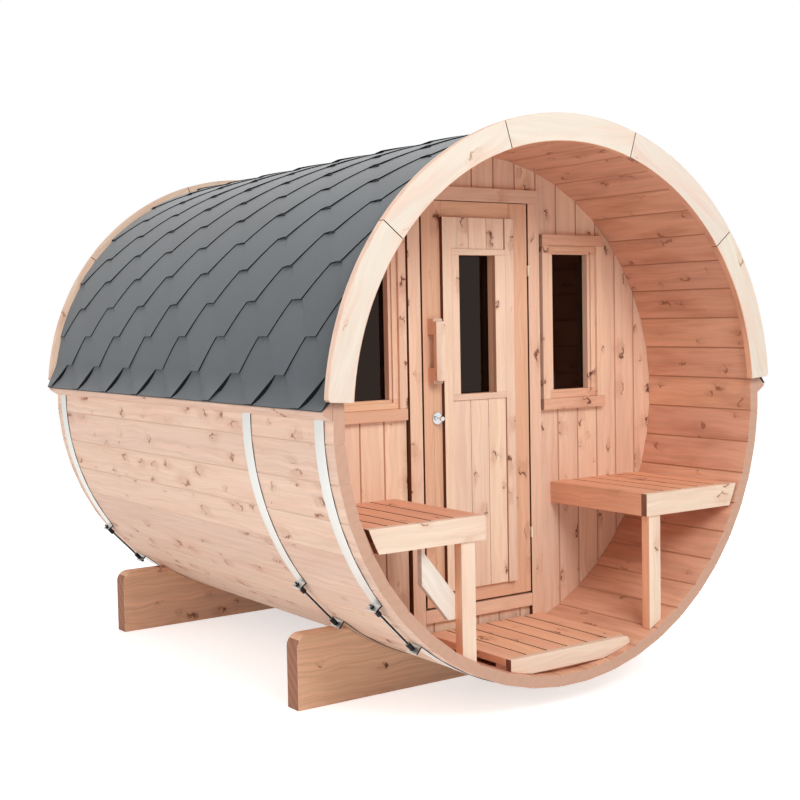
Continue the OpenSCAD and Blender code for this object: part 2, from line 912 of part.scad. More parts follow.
module porch_deck() {
    slat_y = front_y + deck_setback + fascia_t + seat_gap;
    back_y = casing_y - seat_gap;
    color(seat_wood) {
        floor_slats(deck_shift, slat_y, back_y);
        for (y = [slat_y, back_y - bearer_w])
            floor_bearer(deck_shift, y);
    }
}

// Board across the front of the deck, cut to the staves at its ends and rounded at one of them
module deck_fascia() {
    y = front_y + deck_setback;
    color(pale_wood)
        within(room_r)
            upright(y, fascia_t)
                translate([deck_shift, deck_z - fascia_h])
                    union() {
                        translate([-deck_w / 2, 0])
                            square([deck_w - fascia_round, fascia_h]);
                        square([deck_w / 2, fascia_h - fascia_round]);
                        translate([deck_w / 2 - fascia_round, fascia_h - fascia_round])
                            circle(fascia_round, $fn = small_fn);
                    }
}

module cabin_floor() {
    pitch = (floor_len - 2 * seat_gap - bearer_w) / (floor_bearers - 1);
    color(seat_wood) {
        floor_slats(0, wall_back + seat_gap, rear_wall_y - seat_gap);
        for (k = [0:floor_bearers - 1])
            floor_bearer(0, wall_back + seat_gap + k * pitch);
    }
}

// Seat slats between an inner fascia and the staves, on ledgers, with a front fascia and one leg
module bench(left) {
    slat_x = bench_in + fascia_t + board_gap;
    pitch = (bench_x - slat_x + slat_gap) / bench_slats;
    slat_y = bench_y + fascia_t + board_gap;
    back_y = wall_y - seat_gap;
    ledger_z = [bench_low, bench_z - bench_t - seat_gap];
    leg_x = bench_in + (left ? left_leg_inset : right_leg_inset);
    leg_y = bench_y + leg_setback;
    color(seat_wood)
        sides(left) {
            within(room_r - bench_end_gap)
                plank([bench_in, r_out], [bench_y, bench_y + fascia_t], [bench_low, bench_z]);
            within(room_r) {
                union() {
                    for (k = [0:bench_slats - 1])
                        plank(
                            [slat_x + k * pitch, slat_x + (k + 1) * pitch - slat_gap],
                            [slat_y, back_y],
                            [bench_z - bench_t, bench_z]
                        );
                    plank([bench_in, bench_in + fascia_t], [slat_y, back_y], [bench_low, bench_z]);
                    for (y = [slat_y, back_y - ledger_w])
                        plank([slat_x, r_out], [y, y + ledger_w], ledger_z);
                    plank([leg_x, leg_x + leg_w], [leg_y, leg_y + leg_d], [0, bench_low - seat_gap]);
                }
            }
        }
}

// Knee brace on the back of the left bench's leg
module bench_brace() {
    y = bench_y + leg_setback + leg_d;
    long = 2 * (brace_reach + brace_drop);
    color(pale_wood)
        sides(true)
            upright(y, brace_t)
                translate([bench_in, bench_low - seat_gap])
                    intersection() {
                        translate([brace_toe, -brace_drop])
                            square([brace_reach - brace_toe, brace_drop]);
                        translate([brace_foot, -brace_drop])
                            rotate(brace_a)
                                translate([-long / 2, 0])
                                    square([long, brace_w]);
                    }
}

stave_bank(0);  // staves_right
stave_bank(45);  // staves_upper_right
stave_bank(90);  // staves_top
stave_bank(135);  // staves_upper_left
stave_bank(180);  // staves_left
stave_bank(225);  // staves_lower_left
stave_bank(270);  // staves_bottom
stave_bank(315);  // staves_lower_right
cradle(front_cradle_y);  // front_cradle
cradle(rear_cradle_y);  // rear_cradle
band(front_band_y);  // front_band
band(middle_band_y);  // middle_band
band(rear_band_y);  // rear_band
tensioner(front_band_y);  // front_tensioner
tensioner(middle_band_y);  // middle_tensioner
tensioner(rear_band_y);  // rear_tensioner
arch(front_y - arch_t);  // front_arch
arch(rear_y);  // rear_arch
roof(true);  // roof_left
roof(false);  // roof_right
eaves_batten(true);  // eaves_batten_left
eaves_batten(false);  // eaves_batten_right
wall_side(true);  // wall_left
wall_side(false);  // wall_right
wall_over_door();
wall_under_door();
rear_wall();
window(true);  // window_left
window(false);  // window_right
window_glass(true);  // window_glass_left
window_glass(false);  // window_glass_right
door_frame();
hinge_pins();
door_leaf();
door_panel();
door_glass();
door_handle();
door_lock();
hinge_knuckles();
porch_deck();
deck_fascia();
cabin_floor();
bench(true);  // bench_left
bench(false);  // bench_right
bench_brace();
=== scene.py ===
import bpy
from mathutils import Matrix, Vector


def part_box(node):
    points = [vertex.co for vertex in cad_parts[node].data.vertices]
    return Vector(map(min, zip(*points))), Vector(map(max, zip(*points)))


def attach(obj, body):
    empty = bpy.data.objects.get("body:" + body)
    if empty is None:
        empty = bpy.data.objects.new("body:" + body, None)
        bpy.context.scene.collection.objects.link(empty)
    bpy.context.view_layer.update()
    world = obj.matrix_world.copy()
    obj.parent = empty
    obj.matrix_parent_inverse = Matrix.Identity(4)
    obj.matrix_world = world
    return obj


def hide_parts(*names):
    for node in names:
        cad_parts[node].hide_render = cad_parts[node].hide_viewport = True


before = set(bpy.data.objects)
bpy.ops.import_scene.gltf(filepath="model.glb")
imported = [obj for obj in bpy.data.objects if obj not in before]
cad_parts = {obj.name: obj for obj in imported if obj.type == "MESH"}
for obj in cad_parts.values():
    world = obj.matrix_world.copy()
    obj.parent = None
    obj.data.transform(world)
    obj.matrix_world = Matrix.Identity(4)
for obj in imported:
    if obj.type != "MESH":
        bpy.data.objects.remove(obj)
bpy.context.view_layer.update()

import math
import random

import bmesh
import bpy
from mathutils import Matrix, Vector

scene = bpy.context.scene
mm = 0.001

# Barrel measures that several pieces share, read from the frame
axisHeight = (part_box("staves_bottom")[0].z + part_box("staves_top")[1].z) / 2
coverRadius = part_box("front_band")[1].z - axisHeight + 0.3 * mm
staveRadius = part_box("staves_top")[1].z - axisHeight
staveEnds = (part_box("staves_top")[0].y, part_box("staves_top")[1].y)
print("barrel axis", round(axisHeight, 3), "cover radius", round(coverRadius, 4))


def linear(hexColour):
    channels = [int(hexColour[i:i + 2], 16) / 255 for i in (1, 3, 5)]
    return tuple(c / 12.92 if c <= 0.04045 else ((c + 0.055) / 1.055) ** 2.4 for c in channels) + (1.0,)


# Adds one node: settings go to its inputs or, where it has no such input, to its own properties
def add(tree, kind, settings=None, links=None):
    node = tree.nodes.new(kind)
    for key, value in (settings or {}).items():
        if isinstance(key, str) and key not in node.inputs:
            setattr(node, key, value)
    for key, value in (settings or {}).items():
        if not isinstance(key, str) or key in node.inputs:
            node.inputs[key].default_value = value
    for key, source in (links or {}).items():
        tree.links.new(source, node.inputs[key])
    return node


def newMaterial(name):
    material = bpy.data.materials.new(name)
    material.use_nodes = True
    material.node_tree.nodes.clear()
    return material, material.node_tree


# Ends a material with its shader
def coat(material, settings, links=None):
    tree = material.node_tree
    shader = add(tree, "ShaderNodeBsdfPrincipled", settings, links)
    add(tree, "ShaderNodeOutputMaterial", {}, {"Surface": shader.outputs[0]})
    return material


# Noise on a board, stretched to a cell in millimetres along, across and through the board
def boardNoise(tree, place, cell, roughness=0.5):
    size = tuple(length * mm for length in cell)
    scaled = add(tree, "ShaderNodeVectorMath", {"operation": "DIVIDE", 1: size}, {0: place}).outputs[0]
    settings = {"Scale": 1.0, "Detail": 2.0, "Roughness": roughness}
    return add(tree, "ShaderNodeTexNoise", settings, {"Vector": scaled}).outputs["Fac"]


# Knots: one may sit in each cell of the board, and more do where the wood is redder. Gives a spot's distance
# from its knot, and the shares of the knot's middle and of the dark crescent on one side of its rim.
def knotPattern(tree, place, patch, look):
    wobble = add(tree, "ShaderNodeTexNoise", {"Scale": 1 / (look["swayCell"] * mm), "Detail": 3.0},
                 {"Vector": place}).outputs["Color"]
    sway = add(tree, "ShaderNodeVectorMath", {"operation": "SUBTRACT", 1: (0.5, 0.5, 0.5)},
               {0: wobble}).outputs[0]
    swayReach = tuple(length * mm for length in look["swayReach"])
    swayed = add(tree, "ShaderNodeVectorMath", {"operation": "MULTIPLY_ADD", 1: swayReach},
                 {0: sway, 2: place}).outputs[0]
    cell = (look["knotSpacing"] * look["knotStretch"] * mm, look["knotSpacing"] * mm, 1.0)
    cells = add(tree, "ShaderNodeVectorMath", {"operation": "DIVIDE", 1: cell}, {0: swayed}).outputs[0]
    knots = add(tree, "ShaderNodeTexVoronoi", {"voronoi_dimensions": "2D", "Scale": 1.0},
                {"Vector": cells}).outputs
    toKnot = add(tree, "ShaderNodeVectorMath", {"operation": "SUBTRACT"},
                 {0: cells, 1: knots["Position"]}).outputs[0]
    flatCell = (cell[0] * look["knotFlat"], cell[1], 0.0)
    offset = add(tree, "ShaderNodeVectorMath", {"operation": "MULTIPLY", 1: flatCell}, {0: toKnot}).outputs[0]
    distance = add(tree, "ShaderNodeVectorMath", {"operation": "LENGTH"}, {0: offset}).outputs["Value"]
    draw = add(tree, "ShaderNodeSeparateColor", {}, {"Color": knots["Color"]}).outputs

    cluster = add(tree, "ShaderNodeMapRange",
                  {"From Min": 0.3, "From Max": 0.7, "To Min": -look["knotCluster"],
                   "To Max": look["knotCluster"]}, {"Value": patch}).outputs[0]
    crowd = add(tree, "ShaderNodeMath", {"operation": "ADD"}, {0: draw[0], 1: cluster}).outputs[0]
    radius = add(tree, "ShaderNodeMapRange",
                 {"From Min": look["knotShare"], "From Max": 1.0, "To Min": 0.1 * mm,
                  "To Max": look["knotSize"] / 2 * mm}, {"Value": crowd}).outputs[0]
    ratio = add(tree, "ShaderNodeMath", {"operation": "DIVIDE"}, {0: distance, 1: radius}).outputs[0]
    fadeStart, fadeEnd = look["knotFade"]
    middle = add(tree, "ShaderNodeMapRange",
                 {"From Min": fadeStart, "From Max": fadeEnd, "To Min": look["knotBody"], "To Max": 0.0},
                 {"Value": ratio}).outputs[0]
    pastRim = add(tree, "ShaderNodeMath", {"operation": "SUBTRACT", 1: 1.0}, {0: ratio}).outputs[0]
    offRim = add(tree, "ShaderNodeMath", {"operation": "ABSOLUTE"}, {0: pastRim}).outputs[0]
    thinRim, thickRim = look["rimWidths"]
    rimWidth = add(tree, "ShaderNodeMapRange", {"To Min": thinRim, "To Max": thickRim},
                   {"Value": draw[2]}).outputs[0]
    rim = add(tree, "ShaderNodeMapRange", {"From Min": 0.05, "To Min": 1.0, "To Max": 0.0},
              {"Value": offRim, "From Max": rimWidth}).outputs[0]

    parts = add(tree, "ShaderNodeSeparateXYZ", {}, {"Vector": offset}).outputs
    bearing = add(tree, "ShaderNodeMath", {"operation": "ARCTAN2"}, {0: parts["Y"], 1: parts["X"]}).outputs[0]
    turned = add(tree, "ShaderNodeMath", {"operation": "MULTIPLY_ADD", 1: 2 * math.pi},
                 {0: draw[1], 2: bearing}).outputs[0]
    darkSide = add(tree, "ShaderNodeMath", {"operation": "COSINE"}, {0: turned}).outputs[0]
    crescent = add(tree, "ShaderNodeMapRange", {"From Min": 0.1, "From Max": 0.8, "To Min": 0.06},
                   {"Value": darkSide}).outputs[0]
    darkRim = add(tree, "ShaderNodeMath", {"operation": "MULTIPLY"}, {0: rim, 1: crescent}).outputs[0]
    return distance, middle, darkRim


# Growth lines, fibres and soft streaks along the board, bent round each knot
def grainPattern(tree, place, knotDistance, look):
    bend = add(tree, "ShaderNodeMapRange",
               {"From Max": look["bendReach"] * mm, "To Min": look["bendDepth"] * mm, "To Max": 0.0},
               {"Value": knotDistance}).outputs[0]
    aside = add(tree, "ShaderNodeCombineXYZ", {}, {"Y": bend}).outputs[0]
    bent = add(tree, "ShaderNodeVectorMath", {"operation": "ADD"}, {0: place, 1: aside}).outputs[0]
    ringNoise = boardNoise(tree, bent, (look["ringLength"], look["ringWidth"], look["ringWidth"]), 0.45)
    ringCount = add(tree, "ShaderNodeMath", {"operation": "MULTIPLY", 1: look["ringsPerCell"]},
                    {0: ringNoise}).outputs[0]
    ringWave = add(tree, "ShaderNodeMath", {"operation": "PINGPONG", 1: 1.0}, {0: ringCount}).outputs[0]
    rings = add(tree, "ShaderNodeMapRange", {"From Min": 0.35, "From Max": 1.0},
                {"Value": ringWave}).outputs[0]
    fibre = boardNoise(tree, bent, look["fibreCell"])
    grain = add(tree, "ShaderNodeMix", {"data_type": "FLOAT", 0: look["fibreShare"]},
                {2: rings, 3: fibre}).outputs[0]
    streakNoise = boardNoise(tree, bent, look["streakCell"])
    streak = add(tree, "ShaderNodeMapRange",
                 {"From Min": 0.3, "From Max": 0.7, "To Min": 1 - look["streak"],
                  "To Max": 1 + look["streak"]}, {"Value": streakNoise}).outputs[0]
    return grain, streak


# Softwood planks, planed and oiled: soft streaks and growth lines along the board, redder patches, knots, and
# each board a little lighter or darker than the next. boardPos is metres along, across and through the board.
def plankWood(name, look):
    material, tree = newMaterial(name)
    place = add(tree, "ShaderNodeAttribute", {"attribute_name": "boardPos"}).outputs["Vector"]
    tone = add(tree, "ShaderNodeAttribute", {"attribute_name": "boardTone"}).outputs["Fac"]
    inside = add(tree, "ShaderNodeAttribute", {"attribute_name": "insideFace"}).outputs["Fac"]
    patch = boardNoise(tree, place, look["patchCell"])
    knotDistance, knotMiddle, knotRim = knotPattern(tree, place, patch, look)
    grain, streak = grainPattern(tree, place, knotDistance, look)

    tints = []
    for key in ("early", "late", "blush"):
        indoors = look.get("inside" + key.capitalize(), look[key])
        settings = {"data_type": "RGBA", 6: linear(look[key]), 7: linear(indoors)}
        tints.append(add(tree, "ShaderNodeMix", settings, {0: inside}).outputs[2])
    early, late, blush = tints
    plain = add(tree, "ShaderNodeMix", {"data_type": "RGBA"}, {0: grain, 6: early, 7: late}).outputs[2]
    blushShare = add(tree, "ShaderNodeMapRange",
                     {"From Min": 0.45, "From Max": 0.75, "To Max": look["blushShare"]},
                     {"Value": patch}).outputs[0]
    warm = add(tree, "ShaderNodeMix", {"data_type": "RGBA"}, {0: blushShare, 6: plain, 7: blush}).outputs[2]
    hue = add(tree, "ShaderNodeMapRange",
              {"To Min": 0.5 - look["hueSpread"], "To Max": 0.5 + look["hueSpread"]},
              {"Value": tone}).outputs[0]
    boardValue = add(tree, "ShaderNodeMapRange",
                     {"To Min": 1 - look["toneSpread"], "To Max": 1 + look["toneSpread"]},
                     {"Value": tone}).outputs[0]
    value = add(tree, "ShaderNodeMath", {"operation": "MULTIPLY"}, {0: boardValue, 1: streak}).outputs[0]
    toned = add(tree, "ShaderNodeHueSaturation", {}, {"Color": warm, "Hue": hue, "Value": value}).outputs[0]
    knotted = add(tree, "ShaderNodeMix", {"data_type": "RGBA", 7: linear(look["knot"])},
                  {0: knotMiddle, 6: toned}).outputs[2]
    colour = add(tree, "ShaderNodeMix", {"data_type": "RGBA", 7: linear(look["knotRim"])},
                 {0: knotRim, 6: knotted}).outputs[2]
    bump = add(tree, "ShaderNodeBump", {"Strength": 0.15, "Distance": 0.5 * mm}, {"Height": grain}).outputs[0]
    return coat(material, {"Roughness": look["roughness"], "Specular IOR Level": 0.25},
                {"Base Color": colour, "Normal": bump})


# Cross-cut ends of the same boards: faint arcs of growth rings, duller than the faces. The wave texture turns
# 20 radians in the length that its scale gives, so the rings lie 2 pi times endRing apart.
def endGrainWood(name, look):
    material, tree = newMaterial(name)
    place = add(tree, "ShaderNodeAttribute", {"attribute_name": "boardPos"}).outputs["Vector"]
    tone = add(tree, "ShaderNodeAttribute", {"attribute_name": "boardTone"}).outputs["Fac"]
    ringPlace = add(tree, "ShaderNodeVectorMath", {"operation": "MULTIPLY", 1: (0.0, 1.0, 1.0)},
                    {0: place}).outputs[0]
    rings = add(tree, "ShaderNodeTexWave",
                {"wave_type": "RINGS", "rings_direction": "X", "Scale": 1 / (20 * look["endRing"] * mm),
                 "Distortion": 1.5}, {"Vector": ringPlace}).outputs["Fac"]
    share = add(tree, "ShaderNodeMath", {"operation": "MULTIPLY", 1: look["endContrast"]},
                {0: rings}).outputs[0]
    plain = add(tree, "ShaderNodeMix",
                {"data_type": "RGBA", 6: linear(look["endEarly"]), 7: linear(look["endLate"])},
                {0: share}).outputs[2]
    value = add(tree, "ShaderNodeMapRange", {"To Min": 0.98, "To Max": 1.02}, {"Value": tone}).outputs[0]
    colour = add(tree, "ShaderNodeHueSaturation", {}, {"Color": plain, "Value": value}).outputs[0]
    return coat(material, {"Roughness": 0.8, "Specular IOR Level": 0.2}, {"Base Color": colour})


# Edges of the same boards in the V-grooves, in a darker colour: painted shade for the grooves' depth
def grooveWood(name, look):
    material, tree = newMaterial(name)
    inside = add(tree, "ShaderNodeAttribute", {"attribute_name": "insideFace"}).outputs["Fac"]
    colour = add(tree, "ShaderNodeMix",
                 {"data_type": "RGBA", 6: linear(look["groove"]), 7: linear(look["insideGroove"])},
                 {0: inside}).outputs[2]
    return coat(material, {"Roughness": 0.85, "Specular IOR Level": 0.1}, {"Base Color": colour})


# Dull surfaces of one colour: painted shade for edges in the gaps between boards, and cut bitumen
def mattFinish(name, colour, roughness, shine):
    settings = {"Base Color": linear(colour), "Roughness": roughness, "Specular IOR Level": shine}
    return coat(newMaterial(name)[0], settings)


# Sizes in millimetres: ringsPerCell growth lines fall in one ringWidth, a knot may sit in each knotSpacing,
# and fibres, streaks and redder patches have cells along, across and through the board. A knot fades and has
# its rim in shares of its radius, and a lower knotFlat draws it out along the board.
plainPlank = {
    "ringLength": 1500, "ringWidth": 60, "ringsPerCell": 16, "fibreCell": (90, 3, 3), "fibreShare": 0.4,
    "streakCell": (600, 15, 15), "streak": 0.06, "toneSpread": 0.045, "hueSpread": 0.004, "roughness": 0.62,
    "swayCell": 20, "swayReach": (60, 46, 0), "bendReach": 70, "bendDepth": 14,
    "knotSpacing": 95, "knotStretch": 1.6, "knotSize": 40, "knotShare": 0.35, "knotFlat": 0.7,
    "knotBody": 0.3, "knotCluster": 0.35, "knotFade": (0.6, 2.6), "rimWidths": (0.18, 0.6),
    "knot": "#B87C5C", "knotRim": "#6A3D2B",
    "patchCell": (380, 70, 70), "blush": "#E3B199", "blushShare": 0.35,
    "groove": "#C99B80", "insideGroove": "#C99B80",
    "endEarly": "#CBA28C", "endLate": "#C0947D", "endContrast": 0.6, "endRing": 6,
}
woodLooks = {
    "staveSpruce": plainPlank | {
        "early": "#EBCCB8", "late": "#E2BFA9", "insideEarly": "#E8B498", "insideLate": "#DFA587",
        "blush": "#E6B8A2", "blushShare": 0.5, "insideBlush": "#B06E54", "toneSpread": 0.06,
        "groove": "#E6C8B4", "insideGroove": "#CF9C80", "endContrast": 0.2,
        "knot": "#C4917A", "knotRim": "#9A6650", "knotFlat": 0.5},
    "paleSpruce": plainPlank | {
        "early": "#E5D9CA", "late": "#E1D3C3", "endEarly": "#7A5540", "endLate": "#6C4936",
        "blush": "#E6BFAC", "blushShare": 0.6, "toneSpread": 0.015, "streak": 0.03,
        "knot": "#D9B597", "knotRim": "#A87C56", "knotShare": 0.75},
    "braceSpruce": plainPlank | {"early": "#F2E8DB", "late": "#EBDFCF", "blush": "#EBD8C4", "knotShare": 0.8},
    "creamSpruce": plainPlank | {
        "early": "#F0D8C2", "late": "#EACEB6", "endEarly": "#8A5B48", "endLate": "#7C4F3E",
        "knot": "#D0A07C", "knotRim": "#9A6442", "toneSpread": 0.02, "knotShare": 0.6},
    "wallSpruce": plainPlank | {"early": "#F2CFB5", "late": "#EBC4A8"},
    "panelSpruce": plainPlank | {"early": "#F2D5BC", "late": "#ECCBB1", "knotShare": 0.5},
    "leafSpruce": plainPlank | {"early": "#E7B99A", "late": "#E0AD8D", "knotShare": 0.7},
    "postSpruce": plainPlank | {"early": "#EFCAAF", "late": "#E8BFA4", "knotShare": 0.6},
    "seatSpruce": plainPlank | {"early": "#EFB595", "late": "#E8AA88", "knotShare": 0.7, "blush": "#E0A07F"},
    "deckSpruce": plainPlank | {"early": "#F7C4A3", "late": "#F0B996", "knotShare": 0.7, "blush": "#E8AC8B"},
    "cradleSpruce": plainPlank | {
        "early": "#EDC0A0", "late": "#DFAE8D", "streak": 0.1, "endEarly": "#A97A63", "endLate": "#8E624E"},
}

# Each wood's four surfaces, in the order of its materials. Edges in the open gaps between boards are painted
# dark: painted shade where the gaps are deep.
surfaces = ("planed", "endGrain", "groove", "gapShade")
gapShadeFinish = mattFinish("paintedGapShadeWood", "#6A4231", 0.9, 0.1)
woods = {}
for name, look in woodLooks.items():
    woods[name] = (plankWood(name + "Planed", look), endGrainWood(name + "EndGrain", look),
                   grooveWood(name + "Groove", look), gapShadeFinish)


# Sheet and rolled steel with a fine unevenness, whose grit is in millimetres
def steel(name, colour, roughness, grit):
    material, tree = newMaterial(name)
    place = add(tree, "ShaderNodeTexCoord").outputs["Object"]
    noise = add(tree, "ShaderNodeTexNoise", {"Scale": 1 / (grit * mm), "Detail": 2.0},
                {"Vector": place}).outputs["Fac"]
    rough = add(tree, "ShaderNodeMapRange", {"To Min": roughness * 0.75, "To Max": roughness * 1.25},
                {"Value": noise}).outputs[0]
    return coat(material, {"Base Color": linear(colour), "Metallic": 1.0}, {"Roughness": rough})


# Tinted float glass: dark, and smooth enough for a clear reflection
def tintedGlass():
    return coat(newMaterial("tintedFloatGlass")[0], {
        "Base Color": linear("#241F1D"), "Roughness": 0.03, "IOR": 1.45, "Transmission Weight": 1.0,
        "Specular IOR Level": 0.2, "Specular Tint": linear("#F2CDBB")})


# Bitumen felt with slate granules: matt, speckled, each tab a slightly different grey. Granules are about
# 1 mm; they are drawn at 5 mm so that they show at this distance. The slate evens out the tabs' slopes, so
# they take the roof's light.
def slateFelt():
    material, tree = newMaterial("slateGranuleFelt")
    place = add(tree, "ShaderNodeTexCoord").outputs["Object"]
    tone = add(tree, "ShaderNodeAttribute", {"attribute_name": "tabTone"}).outputs["Fac"]
    facing = add(tree, "ShaderNodeAttribute", {"attribute_name": "roofFacing"}).outputs["Vector"]
    granules = add(tree, "ShaderNodeTexNoise", {"Scale": 1 / (5 * mm), "Detail": 3.0},
                   {"Vector": place}).outputs["Fac"]
    plain = add(tree, "ShaderNodeMix", {"data_type": "RGBA", 6: linear("#42474B"), 7: linear("#555B60")},
                {0: granules}).outputs[2]
    value = add(tree, "ShaderNodeMapRange", {"To Min": 0.93, "To Max": 1.06}, {"Value": tone}).outputs[0]
    colour = add(tree, "ShaderNodeHueSaturation", {}, {"Color": plain, "Value": value}).outputs[0]
    bump = add(tree, "ShaderNodeBump", {"Strength": 0.5, "Distance": 1.5 * mm},
               {"Height": granules, "Normal": facing}).outputs[0]
    settings = {"Roughness": 0.75, "Specular IOR Level": 0.2, "Sheen Weight": 0.5, "Sheen Roughness": 0.45}
    return coat(material, settings, {"Base Color": colour, "Normal": bump})


bandSteel = steel("galvanisedStrapSteel", "#DCDBD7", 0.42, 8)
rodSteel = steel("zincPlatedRodSteel", "#B9BBBC", 0.36, 4)
# Black steel for the nuts and lugs, also used as painted shade on the bands' edges and the rods' fronts
lugAndShadeSteel = steel("blackLugAndPaintedShadeSteel", "#2E2E30", 0.45, 4)
hingeSteel = steel("brassPlatedHingeSteel", "#F3EAD2", 0.3, 4)
lockChrome = steel("polishedChromeLock", "#E2E4E5", 0.12, 4)
darkGlass = tintedGlass()
shingleFelt = slateFelt()
feltEdge = mattFinish("cutBitumen", "#141416", 0.8, 0.2)
print("materials", len(bpy.data.materials))


def putIn(name, mesh, body, slotName, *nodes):
    piece = bpy.data.objects.new(name, mesh)
    scene.collection.objects.link(piece)
    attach(piece, body)
    if nodes:
        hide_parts(*nodes)
    return piece


# A merged copy of a node's solids, flat faces whole again and sharp edges eased. trim moves a corner to open
# or close a joint.
def easedCopy(nodeName, ease, trim=None):
    shape = bmesh.new()
    shape.from_mesh(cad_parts[nodeName].data)
    bmesh.ops.remove_doubles(shape, verts=shape.verts, dist=0.02 * mm)
    for vert in shape.verts if trim else ():
        vert.co += trim(vert.co)
    bmesh.ops.dissolve_limit(shape, angle_limit=math.radians(0.5), verts=shape.verts, edges=shape.edges)
    sharp = [e for e in shape.edges if len(e.link_faces) == 2 and e.calc_face_angle() > math.radians(25)]
    bmesh.ops.bevel(shape, geom=sharp, offset=ease, offset_type="OFFSET", segments=2, profile=0.6,
                    affect="EDGES", clamp_overlap=True)
    return shape


# The faces of each separate board, always in the same order
def islandsOf(shape):
    seen = set()
    islands = []
    for first in shape.faces:
        queue = [] if first in seen else [first]
        seen.add(first)
        island = []
        while queue:
            face = queue.pop()
            island.append(face)
            found = [f for edge in face.edges for f in edge.link_faces if f not in seen]
            for other in dict.fromkeys(found):
                seen.add(other)
                queue.append(other)
        if island:
            islands.append(island)
    islands.sort(key=lambda island: tuple(round(c, 4) for c in middleOf(island)))
    return islands


def middleOf(island):
    points = [v.co for face in island for v in face.verts]
    return [(min(p[i] for p in points) + max(p[i] for p in points)) / 2 for i in range(3)]


# Directions of one board: along its grain, across it and through its thickness
def boardAxes(island, curved):
    through = max(island, key=lambda face: face.calc_area()).normal.copy()
    if curved:
        middle = Vector(middleOf(island))
        along = through.cross(Vector((middle.x, 0, middle.z - axisHeight)))
    else:
        edge = max((e for face in island for e in face.edges), key=lambda e: e.calc_length())
        along = edge.verts[1].co - edge.verts[0].co
        along -= through * along.dot(through)
    along.normalize()
    return along, through.cross(along), through


# Grooved boards are tongued together: their edges reach out to meet, so that no daylight shows between them.
# What lies deeper than indoorDepth under the staves' outside is indoors. Each board is cut from another place
# in the wood, within cutFrom metres along, across and through it.
boards = {
    "tongueReach": 0.22 * mm,
    "indoorDepth": 20 * mm,
    "cutFrom": (40, 9, 9),
    "endFacing": 0.8,            # share of a face's direction along the board that makes it an end
    "broadFacing": 0.9,          # share through the board under which a grooved board's face is a groove
}


# Which of a wood's surfaces a face shows; faces in gaps that the given test picks take painted shade
def surfaceOf(face, along, through, grooved, gapShade):
    if gapShade and gapShade(face.calc_center_median(), face.normal):
        return "gapShade"
    if abs(face.normal.dot(along)) > boards["endFacing"]:
        return "endGrain"
    if grooved and abs(face.normal.dot(through)) < boards["broadFacing"]:
        return "groove"
    return "planed"


# Dresses a wooden node board by board. finish names its wood, or gives it for a board and a spot on it.
def dressWood(nodeName, slotName, finish, ease=1.5 * mm, curved=False, grooved=False, body="barrel",
              gapShade=None, trim=None):
    shape = easedCopy(nodeName, ease, trim)
    place = shape.verts.layers.float_vector.new("boardPos")
    tone = shape.verts.layers.float.new("boardTone")
    inside = shape.verts.layers.float.new("insideFace")
    draw = random.Random(nodeName)
    used = []
    for island in islandsOf(shape):
        along, across, through = boardAxes(island, curved)
        middle = Vector(middleOf(island))
        for vert in {v for face in island for v in face.verts} if grooved else ():
            vert.co += across * math.copysign(boards["tongueReach"], (vert.co - middle).dot(across))
        shift = Vector([draw.uniform(-reach, reach) for reach in boards["cutFrom"]])
        boardTone = draw.random()
        for face in island:
            wood = finish(middle, along, face.calc_center_median()) if callable(finish) else finish
            if wood not in used:
                used.append(wood)
            surface = surfaces.index(surfaceOf(face, along, through, grooved, gapShade))
            face.material_index = len(surfaces) * used.index(wood) + surface
            for vert in face.verts:
                arm = vert.co - middle
                vert[place] = Vector((arm.dot(along), arm.dot(across), arm.dot(through))) + shift
                vert[tone] = boardTone
                fromAxis = math.hypot(vert.co.x, vert.co.z - axisHeight)
                vert[inside] = float(fromAxis < staveRadius - boards["indoorDepth"])
    mesh = bpy.data.meshes.new(nodeName + "Boards")
    shape.to_mesh(mesh)
    shape.free()
    for wood in used:
        for material in woods[wood]:
            mesh.materials.append(material)
    mesh.shade_smooth()
    mesh.set_sharp_from_angle(angle=math.radians(14))
    return putIn(nodeName + "Boards", mesh, body, slotName, nodeName)


# Dresses a node in one material, and in a second one on the faces that second(centre, normal) picks
def dressPlain(nodeName, slotName, material, ease, body="barrel", label="Metal", other=None, second=None):
    shape = easedCopy(nodeName, ease)
    if other:
        for face in shape.faces:
            face.material_index = int(second(face.calc_center_median(), face.normal))
    mesh = bpy.data.meshes.new(nodeName + label)
    shape.to_mesh(mesh)
    shape.free()
    mesh.materials.append(material)
    if other:
        mesh.materials.append(other)
    mesh.shade_smooth()
    mesh.set_sharp_from_angle(angle=math.radians(24))
    return putIn(nodeName + label, mesh, body, slotName, nodeName)


# Staves, battens, cradles and arches
staveBanks = ["right", "upper_right", "top", "upper_left", "left", "lower_left", "bottom", "lower_right"]
for bank in staveBanks:
    dressWood("staves_" + bank, "stave_wood", "staveSpruce", ease=1 * mm, grooved=True)
for side in ("left", "right"):
    dressWood("eaves_batten_" + side, "stave_wood", "staveSpruce", ease=1.5 * mm)
archCorners = [vert.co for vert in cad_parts["front_arch"].data.vertices]
archInside = min(math.hypot(corner.x, corner.z - axisHeight) for corner in archCorners)
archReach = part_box("front_arch")[1].z - axisHeight
archEdge = 4 * mm


# The front arch is pale, the rear one like the door's panel, and both are redder round their edges, like the
# staves behind them. The rear arch's brighter, warmer wood is painted light, lifting the shade on its front.
def archFinish(middle, along, spot):
    reach = math.hypot(spot.x, spot.z - axisHeight)
    inFace = archInside + archEdge < reach < archReach - archEdge
    faceWood = "paleSpruce" if middle.y < 0 else "panelSpruce"
    return faceWood if inFace else "staveSpruce"


for end in ("front", "rear"):
    dressWood(end + "_cradle", "cradle_wood", "cradleSpruce", ease=2.5 * mm)
    dressWood(end + "_arch", "pale_wood", archFinish, ease=2 * mm, curved=True)
print("barrel boards dressed")


